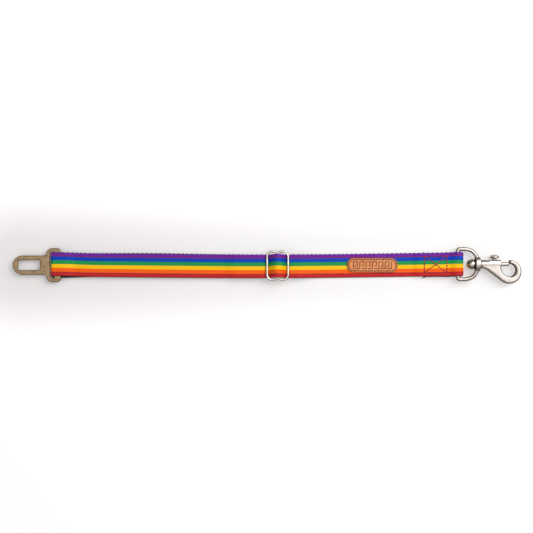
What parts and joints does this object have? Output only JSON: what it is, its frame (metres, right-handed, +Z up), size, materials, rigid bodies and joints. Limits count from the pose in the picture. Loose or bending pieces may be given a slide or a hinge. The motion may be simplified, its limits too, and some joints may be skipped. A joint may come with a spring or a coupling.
{
  "type": "car seat-belt pet restraint strap",
  "caption": "Adjustable webbing strap with a striped ribbon face, a steel seat-buckle tongue at one end, a wire slide adjuster and a swivel bolt snap at the other.",
  "frame": {"origin": "on the flat underside of the steel tongue, on the solid land midway between its latch window and its webbing slot", "axes": "+X along the strap from the tongue towards the snap hook, +Y across the strap's width towards the violet edge of the ribbon, +Z up from the face the strap lies on"},
  "size_m": [0.5278, 0.038, 0.0145],
  "materials": {
    "webbing": "black woven nylon, ribbed",
    "ribbon": "satin-woven ribbon in six equal lengthwise stripes: violet, blue, green, yellow, orange, red",
    "thread_red": "red sewing thread",
    "thread_brown": "dark brown waxed thread",
    "leather": "tan orange, smooth, with darker cut edges",
    "tongue_steel": "yellow zinc plated, dull satin",
    "wire": "bright nickel plated",
    "casting": "satin nickel plated casting",
    "spring": "bare spring wire"
  },
  "bodies": {
    "tongue_end": {"webbing_tongue_loop": "webbing", "ribbon_tongue_loop": "ribbon", "seam_violet_tongue_loop": "thread_red", "seam_red_tongue_loop": "thread_red", "webbing_upper_run": "webbing", "ribbon_upper_run": "ribbon", "seam_violet_upper_run": "thread_red", "seam_red_upper_run": "thread_red", "webbing_lower_run": "webbing", "ribbon_lower_run": "ribbon", "seam_violet_lower_run": "thread_red", "seam_red_lower_run": "thread_red"},
    "tongue": {"tongue_plate": "tongue_steel"},
    "adjuster": {"adjuster_frame": "wire", "adjuster_centre_bar": "wire", "webbing_hump": "webbing", "ribbon_hump": "ribbon", "seam_violet_hump": "thread_red", "seam_red_hump": "thread_red", "webbing_adjuster_loop": "webbing", "ribbon_adjuster_loop": "ribbon", "seam_violet_adjuster_loop": "thread_red", "seam_red_adjuster_loop": "thread_red", "box_seam_adjuster": "thread_red"},
    "strap": {"webbing_right_run": "webbing", "ribbon_right_run": "ribbon", "seam_violet_right_run": "thread_red", "seam_red_right_run": "thread_red", "webbing_eye_end": "webbing", "ribbon_eye_end": "ribbon", "seam_violet_eye_end": "thread_red", "seam_red_eye_end": "thread_red", "leather_patch": "leather", "patch_seam": "thread_brown", "box_seam_eye_end": "thread_red"},
    "eye": {"swivel_eye": "casting"},
    "hook": {"hook_body": "casting", "bolt_spring": "spring"},
    "bolt": {"snap_bolt": "casting", "thumb_knob": "casting"}
  },
  "joints": [
    {"name": "tongue_swing", "type": "hinge", "parent": "tongue_end", "child": "tongue", "pos_m": [0.0132, 0, 0.0014], "axis": [0, 1, 0], "range_deg": [-60, 60], "deforming": ["webbing_tongue_loop", "ribbon_tongue_loop", "seam_violet_tongue_loop", "seam_red_tongue_loop"]},
    {"name": "adjuster_slide", "type": "slide", "parent": "tongue_end", "child": "adjuster", "axis": [-1, 0, 0], "range_m": [-0.018, 0.145], "deforming": ["webbing_upper_run", "ribbon_upper_run", "seam_violet_upper_run", "seam_red_upper_run", "webbing_lower_run", "ribbon_lower_run", "seam_violet_lower_run", "seam_red_lower_run"]},
    {"name": "strap_feed", "type": "slide", "parent": "adjuster", "child": "strap", "axis": [1, 0, 0], "range_m": [-0.036, 0.29], "deforming": ["webbing_right_run", "ribbon_right_run", "seam_violet_right_run", "seam_red_right_run"]},
    {"name": "eye_swing", "type": "hinge", "parent": "strap", "child": "eye", "pos_m": [0.4289, 0, 0.0033], "axis": [0, 1, 0], "range_deg": [-120, 120]},
    {"name": "hook_swivel", "type": "hinge", "parent": "eye", "child": "hook", "pos_m": [0.4518, 0, 0.0033], "axis": [1, 0, 0], "continuous": true},
    {"name": "bolt_slide", "type": "slide", "parent": "hook", "child": "bolt", "axis": [-1, 0, 0], "range_m": [0, 0.0075], "stiffness_N_per_m": 250, "deforming": ["bolt_spring"]}
  ],
  "couplings": [
    {"joint": "strap_feed", "follows": "adjuster_slide", "ratio": 2}
  ]
}
